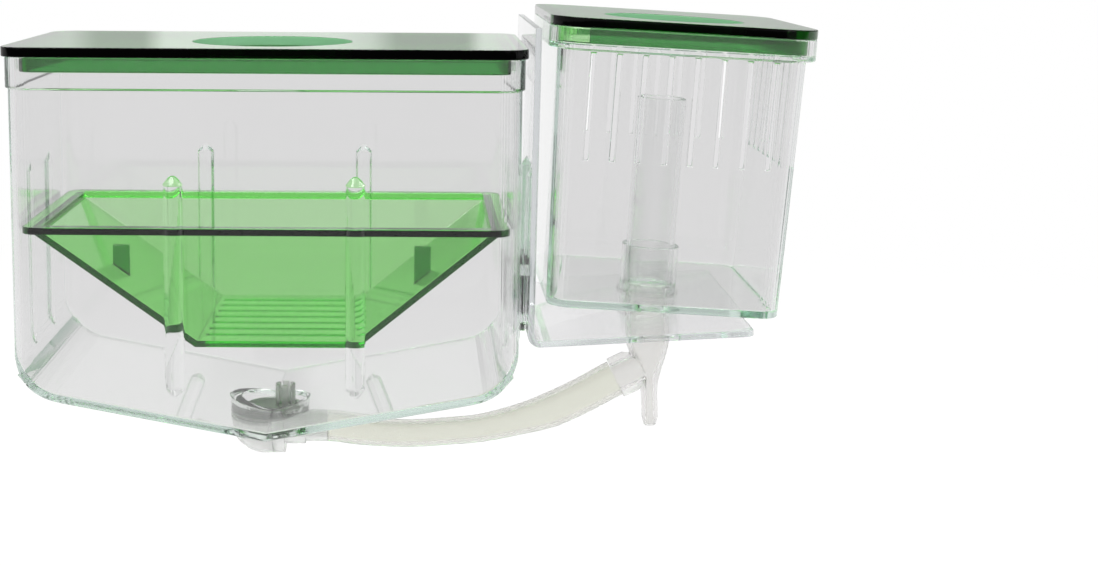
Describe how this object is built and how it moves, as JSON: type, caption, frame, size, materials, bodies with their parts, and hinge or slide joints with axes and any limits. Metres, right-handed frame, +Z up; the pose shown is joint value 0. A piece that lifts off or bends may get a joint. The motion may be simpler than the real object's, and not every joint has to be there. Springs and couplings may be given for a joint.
{
  "type": "fish breeding box",
  "caption": "Clear main box with a V-shaped floor, green lid and green breeding tray, a slotted clear side box with a green lid on a bent plate, and an air lift fed by a hose from the drain.",
  "frame": {"origin": "centre of the main box's mouth, in the plane on which its lid rests", "axes": "+X towards the side box, +Y to the back, +Z up"},
  "size_m": [0.2018, 0.0768, 0.1201],
  "materials": {
    "clear_main": "clear, polished",
    "clear_side": "clear, polished",
    "clear_sheet": "clear, polished",
    "clear_fittings": "clear, polished",
    "clear_tee": "translucent, satin",
    "green_lid": "tinted clear, polished",
    "green_tray": "tinted clear, polished",
    "silicone_hose": "translucent silicone, satin",
    "silicone_seal": "translucent silicone, satin"
  },
  "bodies": {
    "base": {"main_box": "clear_main", "drain_strainer": "clear_fittings", "drain_seal": "silicone_seal", "drain_elbow": "clear_fittings", "hose": "silicone_hose", "airlift_tee": "clear_tee", "riser_ring": "silicone_seal", "riser_sleeve": "clear_fittings", "side_box": "clear_side", "bracket": "clear_sheet", "spacer_pads": "clear_sheet"},
    "lid": {"main_lid": "green_lid"},
    "tray": {"fry_tray": "green_tray"},
    "side_cover": {"side_lid": "green_lid"},
    "riser": {"riser_pipe": "clear_fittings"}
  },
  "joints": [
    {"name": "main_lid_lift", "type": "slide", "parent": "base", "child": "lid", "axis": [0, 0, 1], "range_m": [0, 0.06]},
    {"name": "tray_lift", "type": "slide", "parent": "base", "child": "tray", "axis": [0, 0, 1], "range_m": [0, 0.036]},
    {"name": "side_lid_lift", "type": "slide", "parent": "base", "child": "side_cover", "axis": [0.0523, 0, 0.9986], "range_m": [0, 0.05]},
    {"name": "riser_pull", "type": "slide", "parent": "base", "child": "riser", "axis": [0.0523, 0, 0.9986], "range_m": [0, 0.013]}
  ]
}
